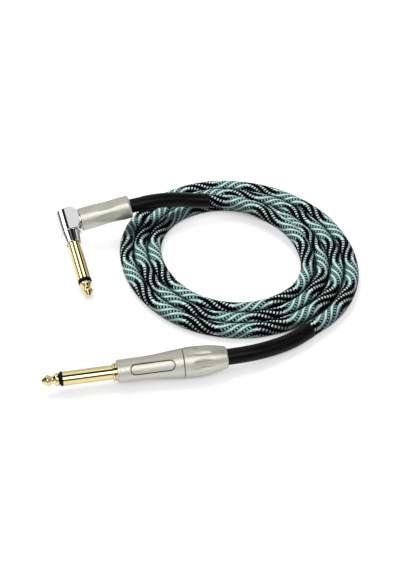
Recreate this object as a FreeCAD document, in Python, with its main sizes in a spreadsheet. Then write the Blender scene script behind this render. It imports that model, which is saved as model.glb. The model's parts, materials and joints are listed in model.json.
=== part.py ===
"""Instrument cable: a straight plug and an angle plug on one woven cord, lying in a loose flat coil.

Millimetres, Z up. The floor that the cable lies on is Z = 0, and the origin is on the floor, under the
middle of the two plugs. X runs to the right and Y away from the viewer.

Each plug has frames of its own. A pin's frame starts at the very tip and its X axis runs up the pin.
The barrel's frame of the angle plug starts where the pin's and the barrel's axes cross, its X axis
runs out of the barrel and its Z axis runs away from the pin's tip.
"""
import FreeCAD, Part
import math
import os

import Sketcher
from FreeCAD import Placement, Rotation, Vector

ALONG_X = Vector(1, 0, 0)
ALONG_Y = Vector(0, 1, 0)
ALONG_Z = Vector(0, 0, 1)

# Driving dimensions: name, size, what it is
DIMENSIONS = [
    ("pin_radius", 3.175, "quarter-inch pin"),
    ("rod_radius", 0.95, "rod that carries the tip through the pin"),
    ("liner_radius", 1.9, "insulating tube round the rod"),
    ("tip_length", 8.0, "tip of the pin, up to the black collar"),
    ("tip_point_radius", 1.05, "edge of the tip's round point"),
    ("tip_point_depth", 0.55, "tip's round point"),
    ("tip_bulge_at", 2.5, "start of the front bulge"),
    ("tip_bulge_radius", 2.52, "front bulge"),
    ("tip_bulge_width", 0.6, "crown of the front bulge"),
    ("tip_neck_at", 4.5, "start of the neck that the jack's spring drops into"),
    ("tip_neck_radius", 1.72, "neck"),
    ("tip_neck_width", 0.45, "bottom of the neck"),
    ("tip_shoulder_at", 6.3, "start of the rear bulge"),
    ("tip_shoulder_radius", 2.75, "rear bulge"),
    ("tip_shoulder_width", 1.2, "crown of the rear bulge"),
    ("tip_rear_radius", 2.35, "tip's rear face"),
    ("collar_length", 1.3, "black collar between tip and sleeve"),
    ("edge_break", 0.15, "broken edges"),
    ("rivet_length", 0.6, "rod's end past the tip lug"),
    ("lug_thickness", 0.5, "sheet of the solder lugs"),
    ("ground_ring_radius", 3.4, "ground lug's ring on the pin"),
    ("tip_ring_radius", 2.4, "tip lug's ring on the pin"),
    ("lug_strip_width", 2.0, "ground lug's strip"),
    ("clamp_wall", 0.45, "ground lug's clamp round the cord"),
    ("clamp_gap", 1.0, "stripped end of the cord to the clamp"),
    ("jacket_radius", 3.1, "woven cord"),
    ("boot_clearance", 0.05, "cord in the shrink sleeves and clamps"),
    ("chuck_clearance", 0.2, "cord in the chucks, and the chucks in their bores"),
    ("wire_radius", 0.9, "insulated inner wire"),
    ("shield_radius", 0.6, "twisted end of the cord's shield"),
    ("boot_radius", 3.6, "black shrink sleeve"),
    ("boot_hole_clearance", 0.25, "shrink sleeve in the hole that it comes out of"),
    ("boot_cover", 2.4, "straight plug: shrink sleeve inside the nut"),
    ("thread_pitch", 1.0, "both clamping threads"),
    ("thread_depth", 0.35, "both clamping threads"),
    ("thread_runout", 0.5, "plain stretch in front of a thread"),
    ("thread_clearance", 0.25, "screwed piece over its male thread"),
    ("seam_gap", 0.05, "screwed piece to the metal in front of it"),
    ("seam_break", 0.25, "broken edges on both sides of a seam"),
    ("slit_width", 0.7, "slits of both chucks"),
    ("sleeve_length", 21.3, "straight plug: bare pin from collar to flange"),
    ("flange_length", 1.9, "straight plug: gold flange"),
    ("flange_radius", 4.0, "straight plug: gold flange"),
    ("flange_groove", 0.4, "straight plug: groove round the flange"),
    ("core_radius", 3.5, "straight plug: sleeve's core and the shell's front bore"),
    ("core_length", 5.0, "straight plug: sleeve's core"),
    ("washer_length", 1.2, "straight plug: insulating washer behind the core"),
    ("cup_length", 6.0, "straight plug: solder cup of the tip lug"),
    ("clamp_length", 3.5, "straight plug: clamp round the cord"),
    ("shell_front_radius", 5.1, "straight plug: slim front of the shell"),
    ("shell_front_length", 9.0, "straight plug: slim front of the shell"),
    ("shell_hollow_length", 11.5, "straight plug: hollow curve behind it"),
    ("shell_hollow_bend", 107.0, "straight plug: radius of the hollow curve"),
    ("shell_slope_radius", 5.72, "straight plug: shell at the end of the curve"),
    ("shell_slope_length", 8.1, "straight plug: cone from there to the seam"),
    ("seam_radius", 6.42, "straight plug: shell at the seam"),
    ("front_bore_length", 20.0, "straight plug: narrow bore of the shell"),
    ("cavity_radius", 4.2, "straight plug: wide bore of the shell"),
    ("spigot_radius", 5.15, "straight plug: male thread"),
    ("spigot_length", 6.0, "straight plug: male thread"),
    ("nut_radius", 6.62, "straight plug: thickest part of the tail nut"),
    ("nut_rim_length", 1.9, "straight plug: front of the nut, up to its full size"),
    ("nut_waist_length", 3.0, "straight plug: stretch at full size"),
    ("nut_taper_length", 13.4, "straight plug: nut's taper"),
    ("nut_taper_bend", 54.6, "straight plug: radius of the nut's taper"),
    ("nut_rear_radius", 4.95, "straight plug: nut near its rear face"),
    ("nut_rear_round", 1.0, "straight plug: rounding of the rear face"),
    ("nut_mouth_length", 3.8, "straight plug: wide hole at the rear"),
    ("seat_gap", 1.8, "thread's end to the cone that squeezes the chuck"),
    ("seat_length", 4.0, "cone that squeezes the chuck"),
    ("flute_count", 12, "straight plug: flutes of the nut"),
    ("flute_wheel", 21.0, "straight plug: radius of the wheel that cuts a flute"),
    ("flute_floor", 5.78, "straight plug: bottom of the flutes"),
    ("flute_at", 9.5, "straight plug: middle of the flutes behind the seam"),
    ("wheel_half", 2.7, "straight plug: half of that wheel's width"),
    ("wheel_drop", 1.5, "straight plug: fall from its sharp rim to its side"),
    ("chuck_front_length", 7.0, "straight plug: chuck inside the shell"),
    ("chuck_step_length", 1.3, "straight plug: chuck's flange"),
    ("chuck_cone_length", 3.8, "straight plug: chuck's cone"),
    ("strip_length", 12.0, "straight plug: bared inner wire"),
    ("shield_length", 5.0, "straight plug: bared shield"),
    ("jacket_gap", 1.5, "straight plug: start of the wide bore to the stripped end"),
    ("panel_at", 15.1, "straight plug: middle of the outlined panel on the shell"),
    ("panel_length", 19.4, "straight plug: outlined panel"),
    ("panel_width", 4.9, "straight plug: outlined panel"),
    ("panel_line", 0.5, "straight plug: width of the panel's outline"),
    ("panel_depth", 0.45, "straight plug: depth of the panel's outline"),
    ("reach", 43.0, "angle plug: tip of the pin to the barrel's axis"),
    ("head_radius", 4.95, "angle plug: head's round back, and its flat cheeks from the pin's axis"),
    ("head_front", 6.8, "angle plug: barrel's axis to the front of the head"),
    ("head_rear", 6.0, "angle plug: barrel's axis to the closed end of the head"),
    ("head_round", 0.8, "angle plug: rounding of the closed end"),
    ("neck_length", 6.1, "angle plug: tapered neck"),
    ("neck_front_radius", 3.75, "angle plug: neck at the pin"),
    ("neck_rear_radius", 4.7, "angle plug: neck at the head"),
    ("stem_radius", 3.4, "angle plug: sleeve in the neck, a little thicker than the pin"),
    ("head_cavity", 3.95, "angle plug: hollow of the head"),
    ("head_front_wall", 1.8, "angle plug: wall that stops the sleeve"),
    ("cap_radius", 4.3, "angle plug: cap that closes the head"),
    ("cap_recess", 1.7, "angle plug: depth of the cap's seat"),
    ("cap_thickness", 0.6, "angle plug: cap"),
    ("stop_length", 1.3, "angle plug: sleeve's flange in the head"),
    ("stack_length", 1.8, "angle plug: insulating washer between the lugs"),
    ("clamp_width", 3.0, "angle plug: clamp round the cord"),
    ("tab_width", 1.8, "angle plug: tip lug's tab"),
    ("rim_radius", 5.45, "angle plug: rim in front of the barrel"),
    ("rim_face", 6.2, "angle plug: pin's axis to the rim's face"),
    ("rim_width", 0.25, "angle plug: rim"),
    ("corner_at", 1.0, "angle plug: pin's axis to the rounding of the head's far corner"),
    ("corner_radius", 5.2, "angle plug: that rounding"),
    ("dome_at", 2.6, "angle plug: pin's axis to the dome that runs down to the rim"),
    ("dome_radius", 8.6, "angle plug: dome where it starts, past the head's corners"),
    ("dome_bend", 5.5, "angle plug: radius of the dome's curve"),
    ("elbow_bore", 3.9, "angle plug: bore towards the barrel"),
    ("elbow_spigot_radius", 4.7, "angle plug: male thread"),
    ("elbow_spigot_length", 5.5, "angle plug: male thread"),
    ("barrel_radius", 5.55, "angle plug: barrel"),
    ("barrel_length", 24.75, "angle plug: barrel"),
    ("barrel_round", 1.3, "angle plug: rounding of the barrel's rear"),
    ("barrel_rear_drop", 1.0, "angle plug: that rounding, across"),
    ("barrel_mouth_length", 4.0, "angle plug: wide hole at the rear"),
    ("scallop_count", 6, "angle plug: flats round the barrel"),
    ("scallop_wheel", 53.0, "angle plug: radius of the wheel that cuts a flat"),
    ("scallop_floor", 5.15, "angle plug: bottom of the flats"),
    ("scallop_at", 13.25, "angle plug: middle of the flats on the barrel"),
    ("elbow_chuck_front_length", 1.6, "angle plug: chuck inside the elbow"),
    ("elbow_chuck_step_length", 0.9, "angle plug: chuck's flange"),
    ("elbow_chuck_cone_length", 3.6, "angle plug: chuck's cone"),
    ("elbow_jacket_at", 5.5, "angle plug: pin's axis to the stripped end of the cord"),
    ("elbow_wire_length", 3.3, "angle plug: bared inner wire"),
    ("elbow_shield_length", 2.0, "angle plug: bared shield"),
    ("elbow_boot_cover", 7.0, "angle plug: shrink sleeve inside the barrel"),
    ("coil_pitch", 6.68, "one turn of the coil to the next"),
    ("coil_rest", 3.12, "height of the cord's middle where it lies on the floor"),
    ("coil_first_height", 7.2, "height of the cord's middle where it crosses to the inner turn"),
]

doc = FreeCAD.newDocument("InstrumentCable")
sheet = doc.addObject("Spreadsheet::Sheet", "Dimensions")
for row, (alias, number, meaning) in enumerate(DIMENSIONS, 1):
    sheet.set(f"A{row}", alias)
    sheet.set(f"B{row}", str(number))
    sheet.setAlias(f"B{row}", alias)
    sheet.set(f"C{row}", meaning)
doc.recompute()


class Size:
    """A length and the formula of the sheet that it follows."""

    def __init__(self, value, formula):
        self.value = value
        self.formula = formula

    def __add__(self, other):
        other = size(other)
        return Size(self.value + other.value, f"({self.formula} + {other.formula})")

    def __sub__(self, other):
        other = size(other)
        return Size(self.value - other.value, f"({self.formula} - {other.formula})")

    def __mul__(self, other):
        other = size(other)
        return Size(self.value * other.value, f"({self.formula} * {other.formula})")

    def __truediv__(self, other):
        other = size(other)
        return Size(self.value / other.value, f"({self.formula} / {other.formula})")

    def __neg__(self):
        return size(0) - self


def size(number):
    """A plain number as a Size."""
    return number if isinstance(number, Size) else Size(float(number), repr(float(number)))


def dim(alias):
    """A driving dimension of the sheet."""
    return Size(float(sheet.get(alias)), f"Dimensions.{alias}")


# Sizes that several pieces share
PIN = dim("pin_radius")
ROD = dim("rod_radius")
LINER = dim("liner_radius")
EDGE = dim("edge_break")
SEAM = dim("seam_break")
LUG = dim("lug_thickness")
CORD = dim("jacket_radius")
GRIP = CORD + dim("boot_clearance")
SLACK = dim("chuck_clearance")
BOOT_HOLE = dim("boot_radius") + dim("boot_hole_clearance")
COLLAR = dim("tip_length")
COLLAR_END = COLLAR + dim("collar_length")

# Straight plug, measured from its tip
FLANGE = COLLAR_END + dim("sleeve_length")
SHELL = FLANGE + dim("flange_length")
CORE_END = SHELL + dim("core_length")
FLARE = SHELL + dim("shell_front_length")
SLOPE = FLARE + dim("shell_hollow_length")
JOINT = SLOPE + dim("shell_slope_length")
SPIGOT_END = JOINT + dim("spigot_length")
CAVITY = SHELL + dim("front_bore_length")
JACKET_END = CAVITY + dim("jacket_gap")
TAPER = JOINT + dim("nut_rim_length") + dim("nut_waist_length")
NUT_REAR = TAPER + dim("nut_taper_length") + dim("nut_rear_round")
BOOT = NUT_REAR - dim("boot_cover")
NUT_BORE = dim("spigot_radius") + dim("thread_clearance")
THROAT = dim("cavity_radius") - dim("edge_break")

# Angle plug's pin, measured from its tip
REACH = dim("reach")
HEAD = REACH - dim("head_front")
NECK = HEAD - dim("neck_length")
HEAD_REAR = REACH + dim("head_rear")
STOP = HEAD + dim("head_front_wall")
GROUND_LUG = STOP + dim("stop_length")
TIP_LUG = GROUND_LUG + LUG + dim("stack_length")

# Angle plug's barrel, measured from the pin's axis
RIM = dim("rim_face")
ELBOW_THREAD_END = RIM + dim("elbow_spigot_length")
BARREL = RIM + dim("seam_gap")
BARREL_REAR = BARREL + dim("barrel_length")
BARREL_BORE = dim("elbow_spigot_radius") + dim("thread_clearance")
ELBOW_JACKET = dim("elbow_jacket_at")
ELBOW_BOOT = BARREL_REAR - dim("elbow_boot_cover")
ELBOW_THROAT = dim("elbow_bore") + SLACK

# Where the pieces lie: the tail nut rests on the floor, and so does the angle plug's tip
STRAIGHT_TIP = Vector(-38.79, -53.94, dim("nut_radius").value)
STRAIGHT_TURN = 10.2
STRAIGHT_ROLL = -43.75
ELBOW = Vector(-34.49, 42.82, 12.364)
BARREL_TURN = 15.4
BARREL_RISE = 6.94
BARREL_ROLL = -75.75

# Which way the solder cup and the clamps round the cord are open, as turns about their plug's axis
CUP_ROLL = 80
STRAIGHT_CLAMP_ROLL = 305
ANGLE_CLAMP_ROLL = 215

# The cord's ends in their shrink sleeves. Each starts with a run on its plug's axis, then these points.
STRAIGHT_RUN = 9.5
STRAIGHT_LEAD = [Vector(57.9, -33.8, 5.0), Vector(68.8, -27.65, 3.8), Vector(77.7, -20.2, 3.65)]
ANGLE_RUN = 14.0
ANGLE_LEAD = [Vector(15.0, 57.9, 14.8), Vector(24.3, 61.1, 11.5), Vector(32.9, 62.4, 10.1)]

# The coil turns clockwise seen from above. Its first turn has these radii at the four quarters, and each
# further turn is wider by the pitch and, as the turns lie closer or looser there, by this much more.
COIL_MIDDLE = Vector(46.0, 29.3, 0)
COIL_FIRST_QUARTER = 44.0
COIL_RADII = [29.6, 36.05, 36.0, 41.55]
COIL_SPREAD = [0.1, 0.3, 0.0, -0.12]
COIL_QUARTERS = 13

straight_at = Placement(
    STRAIGHT_TIP, Rotation(ALONG_Z, STRAIGHT_TURN) * Rotation(ALONG_X, STRAIGHT_ROLL)
)
barrel_at = Placement(
    ELBOW,
    Rotation(ALONG_Z, BARREL_TURN) * Rotation(ALONG_Y, -BARREL_RISE) * Rotation(ALONG_X, BARREL_ROLL),
)
pin_at = barrel_at * Placement(Vector(0, 0, -REACH.value), Rotation(ALONG_Y, -90))


def new_sketch(body, name, role="XY_Plane"):
    """A sketch on one of the body's own planes."""
    sketch = body.newObject("Sketcher::SketchObject", name)
    plane = next(plane for plane in body.Origin.OriginFeatures if plane.Role == role)
    sketch.AttachmentSupport = (plane, [""])
    sketch.MapMode = "FlatFace"
    return sketch


def pinned(sketch, edge, end, place):
    """Ties one end of an edge to a place given as two Sizes."""
    for kind, axis, length in (("DistanceX", -2, place[0]), ("DistanceY", -1, place[1])):
        if length.value == 0:
            sketch.addConstraint(Sketcher.Constraint("PointOnObject", edge, end, axis))
            continue
        tie = sketch.addConstraint(Sketcher.Constraint(kind, -1, 1, edge, end, length.value))
        sketch.setExpression(f"Constraints[{tie}]", length.formula)


def add_arc(sketch, first, last, bend):
    """An arc from first to last; returns its number and which of its ends each of them is."""
    radius = abs(bend.value)
    side = 1 if bend.value > 0 else -1
    chord = last - first
    across = Vector(-chord.y, chord.x, 0).normalize()
    rise = math.sqrt(max(radius**2 - chord.Length**2 / 4, 0))
    centre = (first + last) * 0.5 - across * (side * rise)
    angles = [math.atan2(end.y - centre.y, end.x - centre.x) for end in (first, last)]
    if side > 0:
        angles.reverse()
    if angles[1] < angles[0]:
        angles[1] += 2 * math.pi
    circle = Part.Circle(centre, ALONG_Z, radius)
    edge = sketch.addGeometry(Part.ArcOfCircle(circle, angles[0], angles[1]), False)
    tie = sketch.addConstraint(Sketcher.Constraint("Radius", edge, radius))
    sketch.setExpression(f"Constraints[{tie}]", (bend if side > 0 else -bend).formula)
    return (edge, 2, 1) if side > 0 else (edge, 1, 2)


def outline(sketch, corners):
    """A closed outline through corners (across, up) or (across, up, bend).

    A bend is the radius of the arc that ends at the corner: plus bulges to the left of the way there,
    minus to the right.
    """
    places = [(size(corner[0]), size(corner[1])) for corner in corners]
    for index, corner in enumerate(corners):
        start = places[index - 1]
        end = places[index]
        first = Vector(start[0].value, start[1].value, 0)
        last = Vector(end[0].value, end[1].value, 0)
        if len(corner) > 2:
            edge, start_end, last_end = add_arc(sketch, first, last, size(corner[2]))
        else:
            edge = sketch.addGeometry(Part.LineSegment(first, last), False)
            start_end, last_end = 1, 2
        pinned(sketch, edge, start_end, start)
        pinned(sketch, edge, last_end, end)


def turned(label, corners, place):
    """A piece turned about its X axis; the corners are (along, radius)."""
    body = doc.addObject("PartDesign::Body", label)
    body.Label = label
    sketch = new_sketch(body, label + "_outline")
    outline(sketch, corners)
    revolution = body.newObject("PartDesign::Revolution", label + "_turning")
    revolution.Profile = sketch
    revolution.ReferenceAxis = (sketch, ["H_Axis"])
    revolution.Angle = 360
    body.Placement = place
    return body


def ring(label, start, length, inner, outer, place):
    """A plain turned ring."""
    end = start + length
    return turned(label, [(start, inner), (start, outer), (end, outer), (end, inner)], place)


def primitive(kind, label, place, **sizes):
    """A cylinder, cone or box whose sizes follow the sheet."""
    piece = doc.addObject(kind, label)
    piece.Label = label
    for name, length in sizes.items():
        piece.setExpression(name, size(length).formula)
    piece.Placement = place
    return piece


def cylinder(label, frame, start, length, radius, angle=360, roll=0.0):
    """A cylinder about the frame's X axis, or a part of one that starts at the given roll."""
    lying = Placement(Vector(start.value, 0, 0), Rotation(ALONG_X, roll) * Rotation(ALONG_Y, 90))
    return primitive("Part::Cylinder", label, frame * lying, Radius=radius, Height=length, Angle=angle)


def box(label, frame, corner, length, width, height):
    place = frame * Placement(Vector(*(size(edge).value for edge in corner)), Rotation())
    return primitive("Part::Box", label, place, Length=length, Width=width, Height=height)


def fused(label, pieces):
    piece = doc.addObject("Part::MultiFuse", label)
    piece.Label = label
    piece.Shapes = pieces
    return piece


def combined(kind, label, base, tool):
    piece = doc.addObject(kind, label)
    piece.Label = label
    piece.Base = base
    piece.Tool = tool
    return piece


def cut(label, base, tool):
    return combined("Part::Cut", label, base, tool)


def shared(label, base, tool):
    """What both pieces fill."""
    return combined("Part::Common", label, base, tool)


def end_face(feature, towards):
    """The feature's face that lies furthest towards a side."""
    doc.recompute()
    faces = feature.Shape.Faces
    furthest = max(range(len(faces)), key=lambda number: faces[number].CenterOfMass.dot(towards))
    return (feature, [f"Face{furthest + 1}"])


def thread_corners(start, length, crest):
    """Crests and roots of a male thread, as rings."""
    pitch = dim("thread_pitch")
    root = crest - dim("thread_depth")
    turns = int((length - EDGE).value / pitch.value)
    corners = []
    for turn in range(turns):
        corners.append((start + pitch * turn, crest))
        corners.append((start + pitch * (turn + 0.5), root))
    corners.append((start + pitch * turns, crest))
    return corners


# Pin of either plug


def pin_tip(label, rod_end, place):
    depth = dim("tip_point_depth")
    radius = dim("tip_point_radius")
    point_bend = (depth * depth + radius * radius) / (depth * 2)
    corners = [
        (0, 0),
        (depth, radius, point_bend),
        (dim("tip_bulge_at"), dim("tip_bulge_radius")),
        (dim("tip_bulge_at") + dim("tip_bulge_width"), dim("tip_bulge_radius"), dim("tip_bulge_width")),
        (dim("tip_neck_at"), dim("tip_neck_radius")),
        (dim("tip_neck_at") + dim("tip_neck_width"), dim("tip_neck_radius"), -dim("tip_neck_width")),
        (dim("tip_shoulder_at"), dim("tip_shoulder_radius")),
        (
            dim("tip_shoulder_at") + dim("tip_shoulder_width"),
            dim("tip_shoulder_radius"),
            dim("tip_shoulder_width"),
        ),
        (COLLAR, dim("tip_rear_radius")),
        (COLLAR, ROD),
        (rod_end, ROD),
        (rod_end, 0),
    ]
    return turned(label, corners, place)


def pin_insulator(label, liner_end, place):
    corners = [
        (COLLAR, ROD),
        (COLLAR, PIN - EDGE),
        (COLLAR + EDGE, PIN),
        (COLLAR_END, PIN),
        (COLLAR_END, LINER),
        (liner_end, LINER),
        (liner_end, ROD),
    ]
    return turned(label, corners, place)


def clamp_ring(label, frame, start, length, roll):
    """An open ring crimped round the cord."""
    outside = cylinder(label + "_outside", frame, start, length, GRIP + dim("clamp_wall"), 290, roll)
    hole = cylinder(label + "_hole", frame, start - 1, length + 2, GRIP)
    return cut(label, outside, hole)


def chuck(label, frame, step, lengths, bore, step_radius):
    """Plastic clamp that the screwed piece squeezes onto the cord, with four slits.

    The lengths are those in front of its flange, of the flange and of the cone.
    """
    front_length, step_length, cone_length = lengths
    start = step - front_length
    cone = step + step_length
    end = cone + cone_length
    hole = CORD + SLACK
    front_radius = bore - SLACK
    corners = [
        (start, hole),
        (start, front_radius),
        (step, front_radius),
        (step, step_radius),
        (cone, step_radius),
        (end, front_radius),
        (end, hole),
    ]
    turning = turned(label + "_turned", corners, frame)
    slit = dim("slit_width")
    half = slit / 2
    slits = [
        box(label + "_flat_slit", frame, (cone, -step_radius, -half), cone_length * 2, step_radius * 2, slit),
        box(label + "_tall_slit", frame, (cone, -half, -step_radius), cone_length * 2, slit, step_radius * 2),
    ]
    cut(label, turning, fused(label + "_slits", slits))


# Straight plug


def straight_pin():
    washer = CORE_END + LUG
    tip_lug = washer + dim("washer_length")
    flange_radius = dim("flange_radius")
    groove = dim("flange_groove")
    groove_start = FLANGE + (dim("flange_length") - groove) / 2
    pin_tip("straight_tip", tip_lug + LUG + dim("rivet_length"), straight_at)
    pin_insulator("straight_insulator", washer, straight_at)
    sleeve = [
        (COLLAR_END, LINER),
        (COLLAR_END, PIN),
        (FLANGE, PIN),
        (FLANGE, flange_radius - EDGE),
        (FLANGE + EDGE, flange_radius),
        (groove_start, flange_radius),
        (groove_start, flange_radius - groove),
        (groove_start + groove, flange_radius - groove),
        (groove_start + groove, flange_radius),
        (SHELL, flange_radius),
        (SHELL, dim("core_radius")),
        (CORE_END, dim("core_radius")),
        (CORE_END, LINER),
    ]
    turned("straight_sleeve", sleeve, straight_at)
    ring("straight_rear_washer", washer, dim("washer_length"), ROD, dim("tip_ring_radius"), straight_at)
    straight_tip_lug(tip_lug)
    straight_ground_lug()


def straight_tip_lug(start):
    """A ring on the rod with a half-round solder cup for the inner wire."""
    plate = ring("straight_tip_lug_plate", start, LUG, ROD, dim("tip_ring_radius"), straight_at)
    cup_end = LUG + dim("cup_length")
    trough = cylinder("straight_tip_lug_trough", straight_at, start, cup_end, ROD + LUG, 200, CUP_ROLL)
    hollow = cylinder("straight_tip_lug_hollow", straight_at, start, cup_end, ROD)
    fused("straight_tip_lug", [plate, cut("straight_tip_lug_cup", trough, hollow)])


def straight_ground_lug():
    """A ring behind the sleeve's core, a strip along the bore and a clamp round the cord."""
    face = dim("tip_ring_radius") + EDGE
    width = dim("lug_strip_width")
    wall = dim("clamp_wall")
    clamp = JACKET_END + dim("clamp_gap")
    length = dim("clamp_length")
    step = clamp - dim("clamp_gap") - LUG
    step_rise = GRIP + wall - face
    plate = ring("straight_ground_lug_plate", CORE_END, LUG, LINER, dim("ground_ring_radius"), straight_at)
    strip = box(
        "straight_ground_lug_strip", straight_at, (CORE_END, face, -width / 2), step + LUG - CORE_END,
        LUG, width,
    )
    rise = box("straight_ground_lug_rise", straight_at, (step, face, -width / 2), LUG, step_rise, width)
    tail = box(
        "straight_ground_lug_tail", straight_at, (step, GRIP, -width / 2), clamp + length - step,
        wall, width,
    )
    clamped = clamp_ring("straight_ground_lug_clamp", straight_at, clamp, length, STRAIGHT_CLAMP_ROLL)
    fused("straight_ground_lug", [plate, strip, rise, tail, clamped])


def shell_surface(inset):
    """Outer line of the shell from its slim front to the seam, drawn inwards by inset."""
    return [
        (FLARE, dim("shell_front_radius") - inset),
        (SLOPE, dim("shell_slope_radius") - inset, -dim("shell_hollow_bend")),
        (JOINT - SEAM, dim("seam_radius") - inset),
    ]


def straight_shell():
    front_radius = dim("shell_front_radius")
    core = dim("core_radius")
    cavity = dim("cavity_radius")
    spigot = dim("spigot_radius")
    thread = JOINT + dim("thread_runout")
    corners = [(SHELL, core), (SHELL, front_radius - SEAM), (SHELL + SEAM, front_radius)]
    corners += shell_surface(0)
    corners += [(JOINT, dim("seam_radius") - SEAM), (JOINT, spigot)]
    corners += thread_corners(thread, SPIGOT_END - thread, spigot)
    corners += [
        (SPIGOT_END - EDGE, spigot),
        (SPIGOT_END, spigot - EDGE),
        (SPIGOT_END, cavity),
        (CAVITY, cavity),
        (CAVITY, core),
    ]
    cut("straight_shell", turned("straight_shell_turned", corners, straight_at), panel_groove())


def panel_outline(sketch, shrink):
    """A long outline with round ends, smaller all round by shrink."""
    half_width = dim("panel_width") / 2 - shrink
    straight_half = (dim("panel_length") - dim("panel_width")) / 2
    middle = SHELL + dim("panel_at")
    front = middle - straight_half
    rear = middle + straight_half
    corners = [
        (front, half_width, half_width),
        (rear, half_width),
        (rear + half_width, 0, half_width),
        (rear, -half_width, half_width),
        (front, -half_width),
        (front - half_width, 0, half_width),
    ]
    outline(sketch, corners)


def panel_groove():
    """The outlined panel's thin groove on the viewer's side, equally deep all round."""
    band = doc.addObject("PartDesign::Body", "panel_band")
    band.Label = "panel_band"
    sketch = new_sketch(band, "panel_band_outline", "XZ_Plane")
    panel_outline(sketch, size(0))
    panel_outline(sketch, dim("panel_line"))
    pad = band.newObject("PartDesign::Pad", "panel_band_pad")
    pad.Profile = sketch
    pad.setExpression("Length", dim("seam_radius").formula)
    band.Placement = straight_at
    depth = dim("panel_depth")
    inner = [(SHELL, 0), (SHELL, dim("shell_front_radius") - depth)]
    inner += shell_surface(depth)
    inner += [(JOINT - SEAM, 0)]
    return cut("panel_groove", band, turned("panel_kept_metal", inner, straight_at))


def tail_nut():
    start = JOINT + dim("seam_gap")
    seat = SPIGOT_END + dim("seat_gap")
    seat_end = seat + dim("seat_length")
    mouth = NUT_REAR - dim("nut_mouth_length")
    rear_round = dim("nut_rear_round")
    corners = [
        (start, NUT_BORE),
        (start, dim("seam_radius") - SEAM),
        (start + SEAM, dim("seam_radius")),
        (JOINT + dim("nut_rim_length"), dim("nut_radius")),
        (TAPER, dim("nut_radius")),
        (NUT_REAR - rear_round, dim("nut_rear_radius"), dim("nut_taper_bend")),
        (NUT_REAR, dim("nut_rear_radius") - rear_round * 0.7, rear_round),
        (NUT_REAR, BOOT_HOLE),
        (mouth, BOOT_HOLE),
        (mouth, THROAT),
        (seat_end, THROAT),
        (seat, NUT_BORE),
    ]
    turning = turned("tail_nut_turned", corners, straight_at)
    cut("tail_nut", turning, fused("tail_nut_wheels", flute_wheels()))


def flute_wheels():
    """Wheels with sharp rims, each of two cones, set round the nut to cut its flutes."""
    wheel = dim("flute_wheel")
    count = int(dim("flute_count").value)
    middle = Vector((JOINT + dim("flute_at")).value, 0, (wheel + dim("flute_floor")).value)
    sizes = {"Radius1": wheel, "Radius2": wheel - dim("wheel_drop"), "Height": dim("wheel_half")}
    wheels = []
    for number in range(count):
        around = Placement(Vector(), Rotation(ALONG_X, 360 * number / count))
        for side, tilt in (("left", 90), ("right", -90)):
            place = straight_at * around * Placement(middle, Rotation(ALONG_X, tilt))
            wheels.append(primitive("Part::Cone", f"flute_wheel_{number}_{side}", place, **sizes))
    return wheels


def straight_rear():
    """The clamp and the cord's end inside the straight plug."""
    lengths = (dim("chuck_front_length"), dim("chuck_step_length"), dim("chuck_cone_length"))
    step_radius = NUT_BORE - SLACK * 2
    chuck("straight_chuck", straight_at, SPIGOT_END + SLACK, lengths, dim("cavity_radius"), step_radius)
    cylinder("straight_inner_jacket", straight_at, JACKET_END, BOOT - JACKET_END, CORD)
    strip = dim("strip_length")
    cylinder("straight_center_wire", straight_at, JACKET_END - strip, strip, dim("wire_radius"))
    beside = Placement(Vector(0, (dim("tip_ring_radius") + EDGE - dim("shield_radius")).value, 0), Rotation())
    bared = dim("shield_length")
    cylinder("straight_shield_tail", straight_at * beside, JACKET_END - bared, bared, dim("shield_radius"))


# Angle plug


def angle_pin():
    stem_radius = dim("stem_radius")
    stop_radius = dim("head_cavity")
    pin_tip("angle_tip", TIP_LUG + LUG + dim("rivet_length"), pin_at)
    pin_insulator("angle_insulator", GROUND_LUG + LUG, pin_at)
    sleeve = [
        (COLLAR_END, LINER),
        (COLLAR_END, PIN),
        (NECK, PIN),
        (NECK, stem_radius),
        (STOP, stem_radius),
        (STOP, stop_radius),
        (GROUND_LUG, stop_radius),
        (GROUND_LUG, LINER),
    ]
    turned("angle_sleeve", sleeve, pin_at)
    radius = dim("ground_ring_radius")
    ring("angle_rear_washer", GROUND_LUG + LUG, dim("stack_length"), ROD, radius, pin_at)


def angle_ground_lug():
    """A ring on the pin, a strip out into the barrel and a clamp round the cord."""
    plate = ring("angle_ground_lug_plate", GROUND_LUG, LUG, LINER, dim("ground_ring_radius"), pin_at)
    width = dim("lug_strip_width")
    clamp = ELBOW_JACKET + dim("clamp_gap")
    length = dim("clamp_width")
    strip = box(
        "angle_ground_lug_strip", barrel_at, (LINER, -width / 2, GROUND_LUG - REACH), clamp + length - LINER,
        width, LUG,
    )
    clamped = clamp_ring("angle_ground_lug_clamp", barrel_at, clamp, length, ANGLE_CLAMP_ROLL)
    fused("angle_ground_lug", [plate, strip, clamped])


def angle_tip_lug():
    """A ring on the rod with a tab under the inner wire."""
    plate = ring("angle_tip_lug_plate", TIP_LUG, LUG, ROD, dim("tip_ring_radius"), pin_at)
    width = dim("tab_width")
    wire_start = ELBOW_JACKET - dim("elbow_wire_length")
    tab_end = wire_start + dim("tip_ring_radius")
    corner = (LINER, -width / 2, TIP_LUG - REACH)
    tab = box("angle_tip_lug_tab", barrel_at, corner, tab_end - LINER, width, LUG)
    fused("angle_tip_lug", [plate, tab])


def elbow_neck():
    """Outside of the tapered neck round the pin, solid."""
    corners = [
        (NECK, 0),
        (NECK, dim("neck_front_radius") - EDGE),
        (NECK + EDGE, dim("neck_front_radius")),
        (HEAD, dim("neck_rear_radius")),
        (STOP, dim("neck_rear_radius")),
        (STOP, 0),
    ]
    return turned("elbow_neck", corners, pin_at)


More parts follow.
